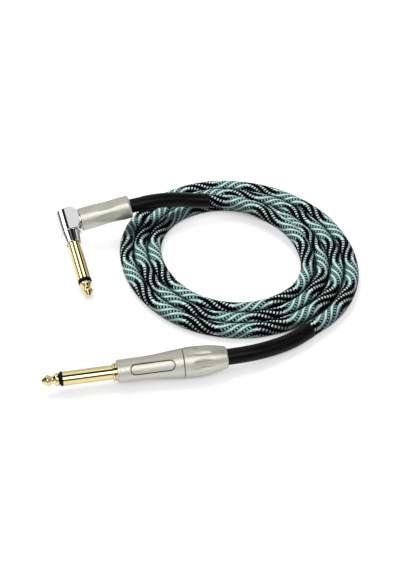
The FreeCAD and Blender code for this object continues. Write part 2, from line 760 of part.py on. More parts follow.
def elbow_block():
    """Outside of the head, solid: a round back, and flat cheeks that end at the rim."""
    radius = dim("head_radius")
    rim_start = RIM - dim("rim_width")
    body = doc.addObject("PartDesign::Body", "elbow_block")
    body.Label = "elbow_block"
    sketch = new_sketch(body, "elbow_block_outline")
    back = [(0, -radius), (-radius, 0, radius), (0, radius, radius)]
    outline(sketch, back + [(rim_start, radius), (rim_start, -radius)])
    pad = body.newObject("PartDesign::Pad", "elbow_block_pad")
    pad.Profile = sketch
    pad.setExpression("Length", (dim("head_front") + dim("head_rear")).formula)
    rounded = body.newObject("PartDesign::Fillet", "elbow_block_rounding")
    rounded.Base = end_face(pad, ALONG_Z)
    rounded.setExpression("Radius", dim("head_round").formula)
    broken = body.newObject("PartDesign::Chamfer", "elbow_block_edge")
    broken.Base = end_face(rounded, -ALONG_Z)
    broken.setExpression("Size", EDGE.formula)
    body.Tip = broken
    body.Placement = barrel_at * Placement(Vector(0, 0, -dim("head_front").value), Rotation())
    return body


def elbow_dome():
    """What the lathe leaves of the block towards the barrel: a dome that runs down to the rim."""
    wide = dim("dome_radius")
    corners = [
        (-wide, 0),
        (-wide, wide),
        (dim("dome_at"), wide),
        (RIM - dim("rim_width"), dim("rim_radius"), dim("dome_bend")),
        (RIM, dim("rim_radius")),
        (RIM, 0),
    ]
    return turned("elbow_dome", corners, barrel_at)


def elbow_side():
    """The head seen square to its cheeks: the closed end's corner towards the barrel is rounded."""
    wide = dim("dome_radius")
    corner_start = dim("corner_at")
    corner_end = corner_start + dim("corner_radius")
    rear = dim("head_rear")
    corners = [
        (-wide, -wide),
        (-wide, rear),
        (corner_start, rear),
        (corner_end, rear - dim("corner_radius"), dim("corner_radius")),
        (corner_end, -wide),
    ]
    body = doc.addObject("PartDesign::Body", "elbow_side")
    body.Label = "elbow_side"
    sketch = new_sketch(body, "elbow_side_outline", "XZ_Plane")
    outline(sketch, corners)
    pad = body.newObject("PartDesign::Pad", "elbow_side_pad")
    pad.Profile = sketch
    pad.setExpression("Length", (wide * 2).formula)
    body.Placement = barrel_at * Placement(Vector(0, wide.value, 0), Rotation())
    return body


def elbow_branch():
    """Rim and male thread towards the barrel, solid."""
    spigot = dim("elbow_spigot_radius")
    rim_start = RIM - dim("rim_width")
    thread = RIM + dim("thread_runout")
    corners = [
        (0, 0),
        (0, spigot),
        (rim_start, spigot),
        (rim_start, dim("rim_radius")),
        (RIM, dim("rim_radius")),
        (RIM, spigot),
    ]
    corners += thread_corners(thread, ELBOW_THREAD_END - thread, spigot)
    corners += [(ELBOW_THREAD_END - EDGE, spigot), (ELBOW_THREAD_END, spigot - EDGE), (ELBOW_THREAD_END, 0)]
    return turned("elbow_branch", corners, barrel_at)


def angle_housing():
    """The elbow: a domed head and tapered neck round the pin, and a threaded branch to the barrel."""
    cavity = dim("head_cavity")
    cap_seat = HEAD_REAR - dim("cap_recess")
    beyond = dim("head_round")
    stem_radius = dim("stem_radius")
    hollow_corners = [
        (NECK - beyond, 0),
        (NECK - beyond, stem_radius),
        (STOP, stem_radius),
        (STOP, cavity),
        (cap_seat, cavity),
        (cap_seat, dim("cap_radius")),
        (HEAD_REAR + beyond, dim("cap_radius")),
        (HEAD_REAR + beyond, 0),
    ]
    hollow = turned("elbow_hollow", hollow_corners, pin_at)
    bore = cylinder("elbow_bore", barrel_at, size(0), ELBOW_THREAD_END + beyond, dim("elbow_bore"))
    core = cylinder("elbow_core", barrel_at, size(0), RIM - dim("rim_width"), dim("rim_radius"))
    room = fused("elbow_room", [shared("elbow_form", elbow_side(), elbow_dome()), core])
    head = shared("elbow_head", elbow_block(), room)
    outside = fused("elbow_outside", [elbow_neck(), head, elbow_branch()])
    cut("angle_housing", outside, fused("elbow_inside", [hollow, bore]))


def angle_cap():
    seat = HEAD_REAR - dim("cap_recess")
    face = seat + dim("cap_thickness")
    radius = dim("cap_radius")
    corners = [(seat, 0), (seat, radius), (face - EDGE, radius), (face, radius - EDGE), (face, 0)]
    turned("angle_cap", corners, pin_at)


def angle_barrel():
    radius = dim("barrel_radius")
    seat = ELBOW_THREAD_END + dim("seat_gap") - SLACK * 3
    seat_end = seat + dim("seat_length")
    mouth = BARREL_REAR - dim("barrel_mouth_length")
    corners = [
        (BARREL, BARREL_BORE),
        (BARREL, radius - SEAM),
        (BARREL + SEAM, radius),
        (BARREL_REAR - dim("barrel_round"), radius),
        (BARREL_REAR, radius - dim("barrel_rear_drop"), dim("barrel_round")),
        (BARREL_REAR, BOOT_HOLE),
        (mouth, BOOT_HOLE),
        (mouth, ELBOW_THROAT),
        (seat_end, ELBOW_THROAT),
        (seat, BARREL_BORE),
    ]
    turning = turned("angle_barrel_turned", corners, barrel_at)
    cut("angle_barrel", turning, fused("scallop_wheels", scallop_wheels()))


def scallop_wheels():
    """Wide wheels set round the barrel to cut its long flats, one flat square to the viewer's side."""
    wheel = dim("scallop_wheel")
    count = int(dim("scallop_count").value)
    half = dim("barrel_radius")
    middle = Vector((BARREL + dim("scallop_at")).value, half.value, (wheel + dim("scallop_floor")).value)
    wheels = []
    for number in range(count):
        around = Placement(Vector(), Rotation(ALONG_X, 90 + 360 * number / count))
        place = barrel_at * around * Placement(middle, Rotation(ALONG_X, 90))
        sizes = {"Radius": wheel, "Height": half * 2}
        wheels.append(primitive("Part::Cylinder", f"scallop_wheel_{number}", place, **sizes))
    return wheels


def angle_rear():
    """The clamp and the cord's end inside the angle plug."""
    lengths = [dim(f"elbow_chuck_{part}_length") for part in ("front", "step", "cone")]
    step_radius = BARREL_BORE - SLACK * 2
    chuck("angle_chuck", barrel_at, ELBOW_THREAD_END + SLACK, lengths, dim("elbow_bore"), step_radius)
    cylinder("angle_inner_jacket", barrel_at, ELBOW_JACKET, ELBOW_BOOT - ELBOW_JACKET, CORD)
    bared = dim("elbow_wire_length")
    cylinder("angle_center_wire", barrel_at, ELBOW_JACKET - bared, bared, dim("wire_radius"))
    strip_face = GROUND_LUG + LUG - REACH
    beside = Placement(Vector(0, 0, (strip_face + dim("shield_radius")).value), Rotation())
    bared = dim("elbow_shield_length")
    cylinder("angle_shield_tail", barrel_at * beside, ELBOW_JACKET - bared, bared, dim("shield_radius"))


# Cord


def way(start, end):
    return (end - start).normalize()


def arc(start, corner, end):
    """The arc that leaves start towards corner and comes to end from it."""
    middle = (start + end) * 0.5
    slope = start.distanceToPoint(middle) / start.distanceToPoint(corner)
    peak = middle + (corner - middle) * (slope / (1 + slope))
    return Part.Arc(start, peak, end).toShape()


def lead_edges(points):
    """Straight runs joined by tangent arcs."""
    edges = []
    here = points[0]
    for before, corner, after in zip(points, points[1:], points[2:]):
        share = 0.45 * min(corner.distanceToPoint(before), corner.distanceToPoint(after))
        first = corner - way(before, corner) * share
        last = corner + way(corner, after) * share
        edges.append(Part.LineSegment(here, first).toShape())
        edges.append(arc(first, corner, last))
        here = last
    edges.append(Part.LineSegment(here, points[-1]).toShape())
    return edges


def biarc(start, start_way, end, end_way):
    """Two arcs from start to end, tangent to both ways and to each other."""
    chord = end - start
    spread = 2 * (1 - start_way.dot(end_way))
    along = chord.dot(start_way + end_way)
    share = (math.sqrt(along**2 + spread * chord.dot(chord)) - along) / spread
    first = start + start_way * share
    last = end - end_way * share
    meeting = (first + last) * 0.5
    return [arc(start, first, meeting), arc(meeting, last, end)]


def coil_edges(start, start_way, end, end_way):
    """The coil's line: a diameter straight at each end, and a biarc for each quarter turn."""
    diameter = CORD.value * 2
    first = start + start_way * diameter
    last = end - end_way * diameter
    stations = [(first, start_way)]
    for quarter in range(COIL_QUARTERS):
        angle = math.radians(COIL_FIRST_QUARTER + 90 * quarter)
        pitch = dim("coil_pitch").value + COIL_SPREAD[quarter % 4]
        radius = COIL_RADII[quarter % 4] + pitch * (quarter // 4)
        height = dim("coil_rest") if quarter else dim("coil_first_height")
        place = COIL_MIDDLE + Vector(math.sin(angle) * radius, math.cos(angle) * radius, height.value)
        stations.append((place, Vector(math.cos(angle), -math.sin(angle), 0)))
    stations.append((last, end_way))
    edges = [Part.LineSegment(start, first).toShape()]
    for (here, here_way), (there, there_way) in zip(stations, stations[1:]):
        edges += biarc(here, here_way, there, there_way)
    edges.append(Part.LineSegment(last, end).toShape())
    return edges


def least_self_gap(edges, radius, step=0.8, apart=40):
    """Least gap between the surfaces of stretches that are further apart along the cord."""
    points = []
    run = 0
    for edge in edges:
        for index in range(math.ceil(edge.Length / step)):
            along = index * step
            points.append((run + along, edge.valueAt(edge.getParameterByLength(along))))
        run += edge.Length
    least = math.inf
    for index, (length, point) in enumerate(points):
        for other_length, other in points[index + 1:]:
            if other_length - length > apart:
                least = min(least, point.distanceToPoint(other))
    return least - 2 * radius


def tube(name, edges, radius):
    """A round solid along a line. Prints its radii, and its volume beside its section times its length."""
    start = edges[0].valueAt(edges[0].FirstParameter)
    onwards = edges[0].tangentAt(edges[0].FirstParameter)
    section = Part.Wire(Part.makeCircle(radius, start, onwards))
    solid = Part.Wire(edges).makePipeShell([section], True, False)
    length = sum(edge.Length for edge in edges)
    arcs = [round(edge.Curve.Radius, 1) for edge in edges if isinstance(edge.Curve, Part.Circle)]
    wanted = math.pi * radius**2 * length
    print(name, "length", round(length, 1), "arc radii", arcs)
    print(name, "volume", round(solid.Volume, 1), "section times length", round(wanted, 1))
    return solid


def cord_piece(label, shape):
    piece = doc.addObject("Part::Feature", label)
    piece.Label = label
    piece.Shape = shape
    return piece


def lead_and_boot(cord_label, boot_label, frame, start, run, points):
    """The cord's end in its shrink sleeve; returns where it stops and which way it runs there."""
    route = [frame.multVec(Vector(start, 0, 0)), frame.multVec(Vector(start + run, 0, 0))] + points
    edges = lead_edges(route)
    cord_piece(cord_label, tube(cord_label, edges, CORD.value))
    outside = tube(boot_label, edges, dim("boot_radius").value)
    hollow = tube(boot_label + " hollow", edges, GRIP.value)
    cord_piece(boot_label, outside.cut(hollow))
    return route[-1], way(route[-2], route[-1])


def cord():
    start, start_way = lead_and_boot(
        "cord_angle_lead", "angle_boot", barrel_at, ELBOW_BOOT.value, ANGLE_RUN, ANGLE_LEAD
    )
    end, back_way = lead_and_boot(
        "cord_straight_lead", "straight_boot", straight_at, BOOT.value, STRAIGHT_RUN, STRAIGHT_LEAD
    )
    edges = coil_edges(start, start_way, end, back_way * -1)
    cord_piece("cord_coil", tube("cord_coil", edges, CORD.value))
    print("cord_coil least gap to itself", round(least_self_gap(edges, CORD.value), 3))


NODES = [
    "straight_tip", "straight_insulator", "straight_sleeve", "straight_rear_washer", "straight_tip_lug",
    "straight_ground_lug", "straight_shell", "tail_nut", "straight_chuck", "straight_boot",
    "straight_inner_jacket", "straight_center_wire", "straight_shield_tail",
    "angle_tip", "angle_insulator", "angle_sleeve", "angle_rear_washer", "angle_tip_lug",
    "angle_ground_lug", "angle_housing", "angle_cap", "angle_barrel", "angle_chuck", "angle_boot",
    "angle_inner_jacket", "angle_center_wire", "angle_shield_tail",
    "cord_angle_lead", "cord_coil", "cord_straight_lead",
]


def check_and_export():
    doc.recompute()
    for item in doc.Objects:
        if "Invalid" in item.State or "Error" in item.State:
            raise RuntimeError(f"{item.Label} did not compute: {item.State}")
    shapes = {label: doc.getObjectsByLabel(label)[0].Shape for label in NODES}
    for label, shape in shapes.items():
        if shape.isNull() or not shape.isValid() or len(shape.Solids) != 1:
            raise RuntimeError(f"{label} is not one valid solid")
    before = doc.getObjectsByLabel("straight_shell_turned")[0].Shape.Volume
    print("panel outline takes", round(before - shapes["straight_shell"].Volume, 2), "cubic millimetres")
    os.makedirs("parts", exist_ok=True)
    plugs = FreeCAD.BoundBox()
    for label, shape in shapes.items():
        shape.exportStep(f"parts/{label}.step")
        bounds = shape.optimalBoundingBox()
        lengths = [round(side, 2) for side in (bounds.XLength, bounds.YLength, bounds.ZLength)]
        print(label, "size", lengths, "volume", round(shape.Volume, 2), "lowest", round(bounds.ZMin, 3))
        if not label.startswith("cord_") and not label.endswith("_boot"):
            plugs.add(bounds)
    print("middle of the plugs", [round(side, 3) for side in plugs.Center], "lowest", round(plugs.ZMin, 3))


straight_pin()
straight_shell()
tail_nut()
straight_rear()
angle_pin()
angle_ground_lug()
angle_tip_lug()
angle_housing()
angle_cap()
angle_barrel()
angle_rear()
cord()
check_and_export()
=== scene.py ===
"""Looks of the instrument cable, in metres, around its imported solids."""

import json
import math

import bpy
import numpy as np
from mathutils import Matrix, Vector


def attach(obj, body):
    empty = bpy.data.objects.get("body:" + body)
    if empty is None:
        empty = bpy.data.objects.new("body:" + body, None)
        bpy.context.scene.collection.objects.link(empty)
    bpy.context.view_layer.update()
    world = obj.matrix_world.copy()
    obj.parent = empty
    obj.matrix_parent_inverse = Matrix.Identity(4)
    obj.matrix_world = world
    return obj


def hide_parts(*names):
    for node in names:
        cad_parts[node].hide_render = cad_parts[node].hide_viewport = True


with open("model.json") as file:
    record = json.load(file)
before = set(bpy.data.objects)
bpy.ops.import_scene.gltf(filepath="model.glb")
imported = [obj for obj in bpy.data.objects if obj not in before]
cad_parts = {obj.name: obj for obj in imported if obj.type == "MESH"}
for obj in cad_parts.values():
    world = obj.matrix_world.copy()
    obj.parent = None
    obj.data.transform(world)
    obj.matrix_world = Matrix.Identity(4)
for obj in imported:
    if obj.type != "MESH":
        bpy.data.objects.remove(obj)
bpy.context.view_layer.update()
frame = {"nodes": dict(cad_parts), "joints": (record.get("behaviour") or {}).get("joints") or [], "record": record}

MM = 0.001

# The camera: a picture 400 by 570 pixels, from 43.3 degrees above the floor
IMAGE_HEIGHT = 570
FOCAL_PIXELS = 1241
SENSOR = 36.0
LOOK_DOWN = math.radians(43.3)
DISTANCE = 580 * MM
TARGET = Vector((28.71, 12.82, 0)) * MM

# The cord and its shrink sleeves
CORD_RADIUS = 3.1 * MM
BOOT_RADIUS = 3.6 * MM
ANGLE_BOOT_LENGTH = 47.3 * MM
STRAIGHT_BOOT_LENGTH = 45.2 * MM

# The angle plug's sleeve has a thinner neck where the barrel slides back over it
BOOT_NECK_RADIUS = 3.42 * MM
ANGLE_BOOT_NECK = 11.5 * MM
BOOT_FLARE = 4.0 * MM

# The braid: bands of mint and black that lean to one side and back in waves along the cord. Where they
# lean one way mint fills its bands and black shows as rows of ticks, and where they lean back the other
# way round. The skin has the braid's radius where a band stands at its middle height, a share of 1.
BRAID_RADIUS = 3.28 * MM
BRAID_RIDGE = 0.2 * MM
BRAID_MIDDLE = 0.6
BANDS = 6
WAVE_LENGTH = 32.0 * MM
WAVE_LEAN = 1.15
WAVE_DRIFT = 35.0
MINT_TICK_PITCH = 1.95 * MM
MINT_TICKS_AROUND = 9
BLACK_TICK_PITCH = 1.75 * MM
BLACK_TICKS_AROUND = 7

# The skins of the cord and its sleeves: their rings and sides, the rows of the cord's second map with
# their margin, and the least height over the floor
RING_STEP = 0.76 * MM
CORD_SIDES = 72
BOOT_SIDES = 48
CORD_ROWS = 7
ROW_MARGIN = 0.01
FLOOR_GAP = 0.02 * MM

# How far round a point the floor, the yarns and the metals look for what shades them, for the painted shadow and
# shade in their colours
SHADOW_REACH = 7 * MM
CREASE_REACH = 3 * MM
GROOVE_REACH = 0.8 * MM

# The route's points at both ends: the first two lie on each plug's axis, and the lead's lie between them
# and the coil
ANGLE_BOOT_START = 24.0 * MM
ANGLE_RUN = 14.0 * MM
ANGLE_LEAD = [Vector(p) * MM for p in ((15.0, 57.9, 14.8), (24.3, 61.1, 11.5), (32.9, 62.4, 10.1))]
STRAIGHT_BOOT_START = 78.0 * MM
STRAIGHT_RUN = 9.5 * MM
STRAIGHT_LEAD = [Vector(p) * MM for p in ((57.9, -33.8, 5.0), (68.8, -27.65, 3.8), (77.7, -20.2, 3.65))]

# The coil turns clockwise seen from above. Its first turn has these radii at the four quarters, and
# each later turn lies wider by the pitch and that quarter's spread.
COIL_MIDDLE = Vector((46.0, 29.3, 0)) * MM
COIL_FIRST_QUARTER = 44.0
COIL_RADII = [29.6 * MM, 36.05 * MM, 36.0 * MM, 41.55 * MM]
COIL_SPREAD = [0.1 * MM, 0.3 * MM, 0.0, -0.12 * MM]
COIL_QUARTERS = 13
COIL_PITCH = 6.68 * MM
COIL_REST = 3.12 * MM
COIL_FIRST_HEIGHT = 7.2 * MM
ARC_CORNERS = 3


def joint(name):
    return next(j for j in frame["joints"] if j["name"] == name)


def mount(name):
    return next(m for m in frame["record"]["mounts"] if m["name"] == name)


# Each plug's axes: the straight plug's from its tip, the barrel's from the pin's axis. Each joint stands
# at its own distance along them.
TIP_TO_NUT = 70
ELBOW_TO_BARREL = 19.5
STRAIGHT_AXIS = Vector(joint("straight_nut_turn")["axis"])
STRAIGHT_TIP = Vector(joint("straight_nut_turn")["pos_m"]) - STRAIGHT_AXIS * TIP_TO_NUT * MM
BARREL_AXIS = Vector(joint("angle_barrel_turn")["axis"])
ELBOW = Vector(joint("angle_barrel_turn")["pos_m"]) - BARREL_AXIS * ELBOW_TO_BARREL * MM
PIN_AXIS = -Vector(mount("angle_pin")["axis"])


def camera():
    data = bpy.data.cameras.new("camera")
    data.sensor_width = SENSOR
    data.lens = SENSOR * FOCAL_PIXELS / IMAGE_HEIGHT
    data.clip_start = 0.01
    data.clip_end = 20
    eye = bpy.data.objects.new("camera", data)
    bpy.context.scene.collection.objects.link(eye)
    eye.location = TARGET + Vector((0, -math.cos(LOOK_DOWN), math.sin(LOOK_DOWN))) * DISTANCE
    eye.rotation_euler = (math.pi / 2 - LOOK_DOWN, 0, 0)
    bpy.context.scene.camera = eye


def arc_corners(start, corner, end):
    """Where the tangents of an arc's equal pieces meet; the arc leaves start towards corner."""
    leave = (corner - start).normalized()
    come = (end - corner).normalized()
    turn = leave.angle(come)
    inwards = (come - leave * math.cos(turn)).normalized()
    radius = (corner - start).length / math.tan(turn / 2)
    centre = start + inwards * radius
    share = turn / ARC_CORNERS
    reach = radius / math.cos(share / 2)
    angles = [share * (number + 0.5) for number in range(ARC_CORNERS)]
    return [centre + (leave * math.sin(a) - inwards * math.cos(a)) * reach for a in angles]


def biarc_corners(start, start_way, end, end_way):
    """The same for two arcs from start to end, tangent to both ways and to each other."""
    chord = end - start
    spread = 2 * (1 - start_way.dot(end_way))
    along = chord.dot(start_way + end_way)
    share = (math.sqrt(along**2 + spread * chord.dot(chord)) - along) / spread
    first = start + start_way * share
    last = end - end_way * share
    meeting = (first + last) / 2
    return arc_corners(start, first, meeting) + arc_corners(meeting, last, end)


def coil_corners(first, first_way, last, last_way):
    """The coil's points, a quarter turn after another, from one lead to the other."""
    stations = [(first, first_way)]
    for quarter in range(COIL_QUARTERS):
        angle = math.radians(COIL_FIRST_QUARTER + 90 * quarter)
        pitch = COIL_PITCH + COIL_SPREAD[quarter % 4]
        radius = COIL_RADII[quarter % 4] + pitch * (quarter // 4)
        height = COIL_REST if quarter else COIL_FIRST_HEIGHT
        place = COIL_MIDDLE + Vector((math.sin(angle) * radius, math.cos(angle) * radius, height))
        stations.append((place, Vector((math.cos(angle), -math.sin(angle), 0))))
    stations.append((last, last_way))
    corners = []
    for (here, here_way), (there, there_way) in zip(stations, stations[1:]):
        corners += biarc_corners(here, here_way, there, there_way)
    return corners


def cord_route():
    """The whole cord's points, from inside the angle plug to inside the straight plug."""
    head = [ELBOW + BARREL_AXIS * (ANGLE_BOOT_START + run) for run in (0, ANGLE_RUN)] + ANGLE_LEAD
    tail = [STRAIGHT_TIP + STRAIGHT_AXIS * (STRAIGHT_BOOT_START + run) for run in (0, STRAIGHT_RUN)]
    tail += STRAIGHT_LEAD
    leave = (head[-1] - head[-2]).normalized()
    come = (tail[-2] - tail[-1]).normalized()
    straight = 2 * CORD_RADIUS
    coil = coil_corners(head[-1] + leave * straight, leave, tail[-1] - come * straight, come)
    return head + coil + tail[::-1]


def spline_points(points):
    """Points along the smooth spline that has these points as its control points."""
    data = bpy.data.curves.new("route", "CURVE")
    data.dimensions = "3D"
    data.resolution_u = 12
    spline = data.splines.new("NURBS")
    spline.points.add(len(points) - 1)
    for slot, point in zip(spline.points, points):
        slot.co = (*point, 1)
    spline.order_u = 3
    spline.use_endpoint_u = True
    holder = bpy.data.objects.new("route", data)
    mesh = bpy.data.meshes.new_from_object(holder)
    found = np.array([v.co for v in mesh.vertices])
    bpy.data.objects.remove(holder)
    bpy.data.curves.remove(data)
    bpy.data.meshes.remove(mesh)
    return found


def evenly(points, step):
    """The same line with evenly spaced points, and the distance of each along it."""
    runs = np.concatenate([[0], np.cumsum(np.linalg.norm(np.diff(points, axis=0), axis=1))])
    count = max(2, round(runs[-1] / step) + 1)
    wanted = np.linspace(0, runs[-1], count)
    return np.stack([np.interp(wanted, runs, points[:, axis]) for axis in range(3)], axis=1), wanted


def directions_across(points):
    """Two directions across the line at each point, which turn with it as little as they can."""
    ways = np.gradient(points, axis=0)
    ways /= np.linalg.norm(ways, axis=1)[:, None]
    across = np.zeros_like(points)
    side = np.cross(ways[0], [0, 0, 1])
    for index, onwards in enumerate(ways):
        side = side - onwards * np.dot(side, onwards)
        side = side / np.linalg.norm(side)
        across[index] = side
    return across, np.cross(ways, across)


def new_piece(name, verts, faces):
    mesh = bpy.data.meshes.new(name)
    mesh.from_pydata([tuple(v) for v in verts], [], faces)
    mesh.update()
    mesh.polygons.foreach_set("use_smooth", [True] * len(mesh.polygons))
    piece = bpy.data.objects.new(name, mesh)
    bpy.context.scene.collection.objects.link(piece)
    return piece


def swept(name, points, runs, radii, sides=BOOT_SIDES, rows=1):
    """A closed skin round a line, one ring to each point.

    Its first map holds the length along it and the turn. The second, where there are rows, lays it out in
    them on a square.
    """
    across, upwards = directions_across(points)
    angles = np.arange(sides) * 2 * math.pi / sides
    cosines = np.cos(angles)[None, :, None]
    sines = np.sin(angles)[None, :, None]
    reach = np.broadcast_to(radii.reshape(len(points), -1, 1), (len(points), sides, 1))
    skin = points[:, None, :] + (across[:, None, :] * cosines + upwards[:, None, :] * sines) * reach
    skin[:, :, 2] = np.maximum(skin[:, :, 2], FLOOR_GAP)
    count = len(points)
    faces = []
    corners = []
    for ring in range(count - 1):
        low = ring * sides
        high = low + sides
        for side in range(sides):
            following = (side + 1) % sides
            faces.append((low + side, low + following, high + following, high + side))
            corners.append(((ring, side), (ring, side + 1), (ring + 1, side + 1), (ring + 1, side)))
    faces.append(tuple(reversed(range(sides))))
    corners.append([(0, side) for side in reversed(range(sides))])
    faces.append(tuple(range((count - 1) * sides, count * sides)))
    corners.append([(count - 1, side) for side in range(sides)])
    piece = new_piece(name, skin.reshape(-1, 3).tolist(), faces)
    lengthwise = piece.data.uv_layers.new(name="CordMap")
    lengthwise.data.foreach_set(
        "uv", [value for face in corners for ring, side in face for value in (runs[ring], side / sides)]
    )
    if rows > 1:
        in_row = math.ceil((count - 1) / rows)
        laid = []
        for face in corners:
            row = min(face[0][0], count - 2) // in_row
            for ring, side in face:
                up_row = ROW_MARGIN + (1 - 2 * ROW_MARGIN) * side / sides
                laid += [(ring - row * in_row) / in_row, (row + up_row) / rows]
        piece.data.uv_layers.new(name="OFBake").data.foreach_set("uv", laid)
    return piece


def dress(piece, material):
    piece.data.materials.clear()
    piece.data.materials.append(material)
    for polygon in piece.data.polygons:
        polygon.material_index = 0


class Value:
    """A number that a material works out at each point. Sums of values add nodes to its tree."""

    def __init__(self, tree, socket):
        self.tree = tree
        self.socket = socket

    def put(self, operation, *others):
        node = self.tree.nodes.new("ShaderNodeMath")
        node.operation = operation
        for slot, other in zip(node.inputs, (self, *others)):
            feed(self.tree, slot, other)
        return Value(self.tree, node.outputs[0])

    def __add__(self, other):
        return self.put("ADD", other)

    def __sub__(self, other):
        return self.put("SUBTRACT", other)

    def __mul__(self, other):
        return self.put("MULTIPLY", other)

    def __truediv__(self, other):
        return self.put("DIVIDE", other)

    def sine(self):
        return self.put("SINE")

    def size(self):
        return self.put("ABSOLUTE")

    def least(self, other):
        return self.put("MINIMUM", other)

    def most(self, other):
        return self.put("MAXIMUM", other)

    def limited(self, low, high):
        return self.most(low).least(high)

    def rest(self):
        """What is left of 1."""
        return self * -1 + 1

    def step(self, low, high):
        """0 below low, 1 above high, smooth between."""
        node = self.tree.nodes.new("ShaderNodeMapRange")
        node.interpolation_type = "SMOOTHSTEP"
        feed(self.tree, node.inputs["Value"], self)
        node.inputs["From Min"].default_value = low
        node.inputs["From Max"].default_value = high
        return Value(self.tree, node.outputs["Result"])


def feed(tree, slot, value):
    if isinstance(value, Value):
        tree.links.new(value.socket, slot)
    elif hasattr(value, "__len__"):
        slot.default_value = (*value, 1)
    else:
        slot.default_value = value


class Finish:
    """A material with its nodes, and plain words for what the finishes below need."""

    # The numbers of a Mix node's colour sockets
    MIX_FIRST = 6
    MIX_SECOND = 7
    MIX_RESULT = 2

    def __init__(self, name, colour, roughness, metallic=0.0, **others):
        self.material = bpy.data.materials.new(name)
        self.material.use_nodes = True
        self.tree = self.material.node_tree
        self.shader = self.tree.nodes["Principled BSDF"]
        self.set("Base Color", colour)
        self.set("Roughness", roughness)
        self.set("Metallic", metallic)
        for socket, value in others.items():
            self.set(socket.replace("_", " ").title().replace("Ior", "IOR"), value)

    def set(self, socket, value):
        feed(self.tree, self.shader.inputs[socket], value)

    def map_values(self, name):
        """The two numbers of a named map."""
        source = self.tree.nodes.new("ShaderNodeUVMap")
        source.uv_map = name
        parts = self.tree.nodes.new("ShaderNodeSeparateXYZ")
        self.tree.links.new(source.outputs["UV"], parts.inputs["Vector"])
        return Value(self.tree, parts.outputs["X"]), Value(self.tree, parts.outputs["Y"])

    def place(self):
        return self.tree.nodes.new("ShaderNodeTexCoord").outputs["Object"]

    def along(self, axis):
        """The distance along an axis, in metres."""
        node = self.tree.nodes.new("ShaderNodeVectorMath")
        node.operation = "DOT_PRODUCT"
        self.tree.links.new(self.place(), node.inputs[0])
        node.inputs[1].default_value = axis
        return Value(self.tree, node.outputs["Value"])

    def open_air(self, reach):
        """1 in the open, and less in a crease or a groove, for what lies within this reach. The finishes below
        darken colours by it: painted shade.
        """
        node = self.tree.nodes.new("ShaderNodeAmbientOcclusion")
        node.inputs["Distance"].default_value = reach
        return Value(self.tree, node.outputs["AO"])

    def noise(self, scale, detail=2.0, line=None):
        """Noise from 0 to 1 with so many grains a metre, in space or along one value."""
        node = self.tree.nodes.new("ShaderNodeTexNoise")
        node.inputs["Scale"].default_value = scale
        node.inputs["Detail"].default_value = detail
        if line is None:
            self.tree.links.new(self.place(), node.inputs["Vector"])
        else:
            node.noise_dimensions = "1D"
            feed(self.tree, node.inputs["W"], line)
        return Value(self.tree, node.outputs["Fac"])

    def blend(self, share, first, second):
        """The first colour where share is 0 and the second where it is 1."""
        node = self.tree.nodes.new("ShaderNodeMix")
        node.data_type = "RGBA"
        feed(self.tree, node.inputs["Factor"], share)
        feed(self.tree, node.inputs[self.MIX_FIRST], first)
        feed(self.tree, node.inputs[self.MIX_SECOND], second)
        return Value(self.tree, node.outputs[self.MIX_RESULT])

    def relief(self, height, depth):
        """Bumps as high as height times depth, in metres."""
        node = self.tree.nodes.new("ShaderNodeBump")
        node.inputs["Distance"].default_value = depth
        node.inputs["Strength"].default_value = 1.0
        feed(self.tree, node.inputs["Height"], height)
        self.tree.links.new(node.outputs["Normal"], self.shader.inputs["Normal"])


MINT = (0.19, 0.40, 0.37)
# Painted shade of the mint yarn, then its pale ticks together with the painted highlight along its bands
MINT_PAINTED_SHADE = (0.02, 0.08, 0.075)
MINT_PALE_AND_HIGHLIGHT = (0.80, 0.96, 0.94)
YARN_BLACK = (0.001, 0.0015, 0.0015)
SLEEVE_BLACK = (0.001, 0.001, 0.001)
SLEEVE_WORN = (0.004, 0.004, 0.004)
PLASTIC_BLACK = (0.003, 0.003, 0.003)
GOLD = (0.80, 0.67, 0.35)
CHROME = (0.76, 0.76, 0.77)
TINNED = (0.72, 0.69, 0.60)
NICKEL = (0.63, 0.625, 0.555)
NICKEL_DEEP = (0.51, 0.505, 0.435)
# Painted shade in the metals' grooves and seams
METAL_GROOVE_SHADE = (0.05, 0.05, 0.045)
COPPER = (0.85, 0.48, 0.32)
# Painted shade in the grooves between the copper wires
COPPER_GAP_SHADE = (0.45, 0.20, 0.11)
INSULATION = (0.82, 0.82, 0.78)
FLOOR_GREY = (0.2, 0.2, 0.2)

# How sharply a wave's two zones and its ticks begin, and how much each counts against the bands
ZONE_SHARPNESS = 1.7
TICK_SHARPNESS = 5.0
ZONE_SHARE = 0.8
TICK_SHARE = 0.3
TICK_SHARE_IN_ZONE = 0.35
SLEEVE_YARN_LEAN = 300


